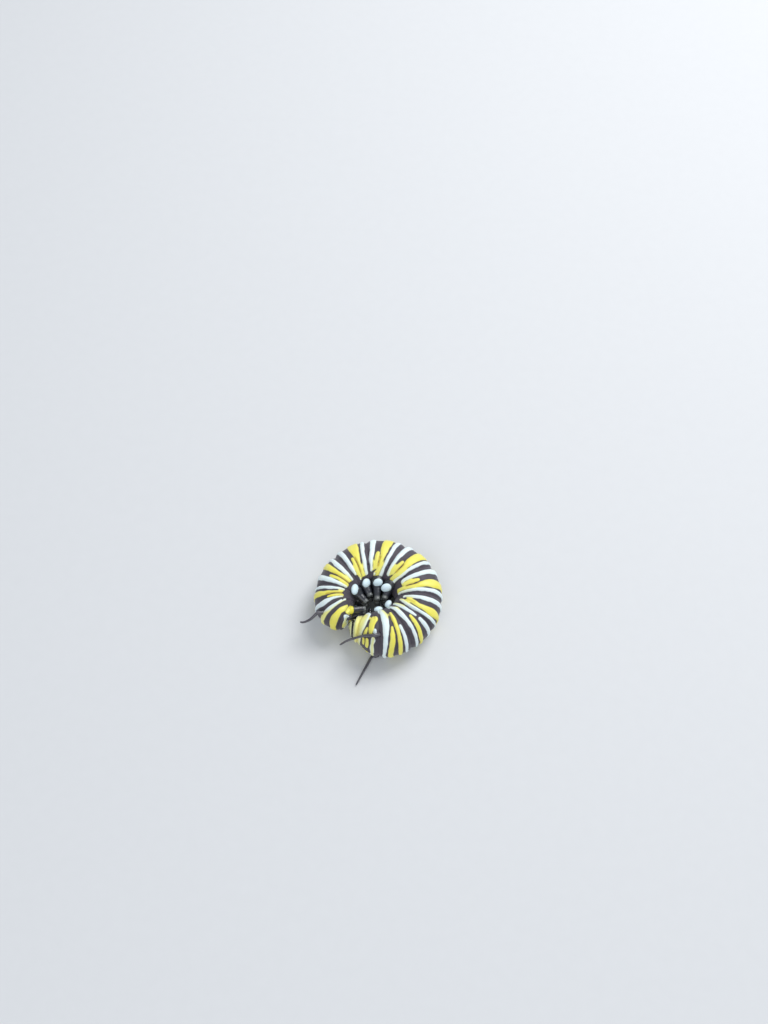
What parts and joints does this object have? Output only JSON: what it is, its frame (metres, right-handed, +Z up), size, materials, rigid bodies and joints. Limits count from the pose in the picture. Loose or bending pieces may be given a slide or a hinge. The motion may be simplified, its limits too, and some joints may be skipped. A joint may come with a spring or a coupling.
{
  "type": "monarch larva model",
  "caption": "Life-size banded monarch larva, curled in a ring and lying on its left side, head tucked against its tail.",
  "frame": {"origin": "on the surface it lies on, under the middle of the whole model's box", "axes": "+Z up, from the left flank that it lies on to the right flank; the head and tail meet at the side of -X and -Y; the picture's camera looks along +Y and down"},
  "size_m": [0.0233, 0.0248, 0.0073],
  "materials": {
    "banded_skin": "matt, banded white, yellow and black",
    "head_capsule": "smooth, slightly glossy, pale with black bands",
    "black_horn": "glossy black",
    "black_skin": "satin black"
  },
  "bodies": {
    "root": {"head": "head_capsule", "t1": "banded_skin", "t2": "banded_skin", "t3": "banded_skin", "a1": "banded_skin", "a2": "banded_skin", "a3": "banded_skin", "a4": "banded_skin", "a5": "banded_skin", "a6": "banded_skin", "a7": "banded_skin", "a8": "banded_skin", "a9_a10": "banded_skin", "leg_t1_right": "black_horn", "leg_t1_left": "black_horn", "leg_t2_right": "black_horn", "leg_t2_left": "black_horn", "leg_t3_right": "black_horn", "leg_t3_left": "black_horn", "proleg_a3_right": "black_skin", "proleg_a3_left": "black_skin", "proleg_a4_right": "black_skin", "proleg_a4_left": "black_skin", "proleg_a5_right": "black_skin", "proleg_a5_left": "black_skin", "proleg_a6_right": "black_skin", "proleg_a6_left": "black_skin", "proleg_a10_right": "black_skin", "proleg_a10_left": "black_skin", "filament_t2_right": "black_skin", "filament_t2_left": "black_skin", "filament_a8_right": "black_skin", "filament_a8_left": "black_skin"}
  },
  "joints": []
}
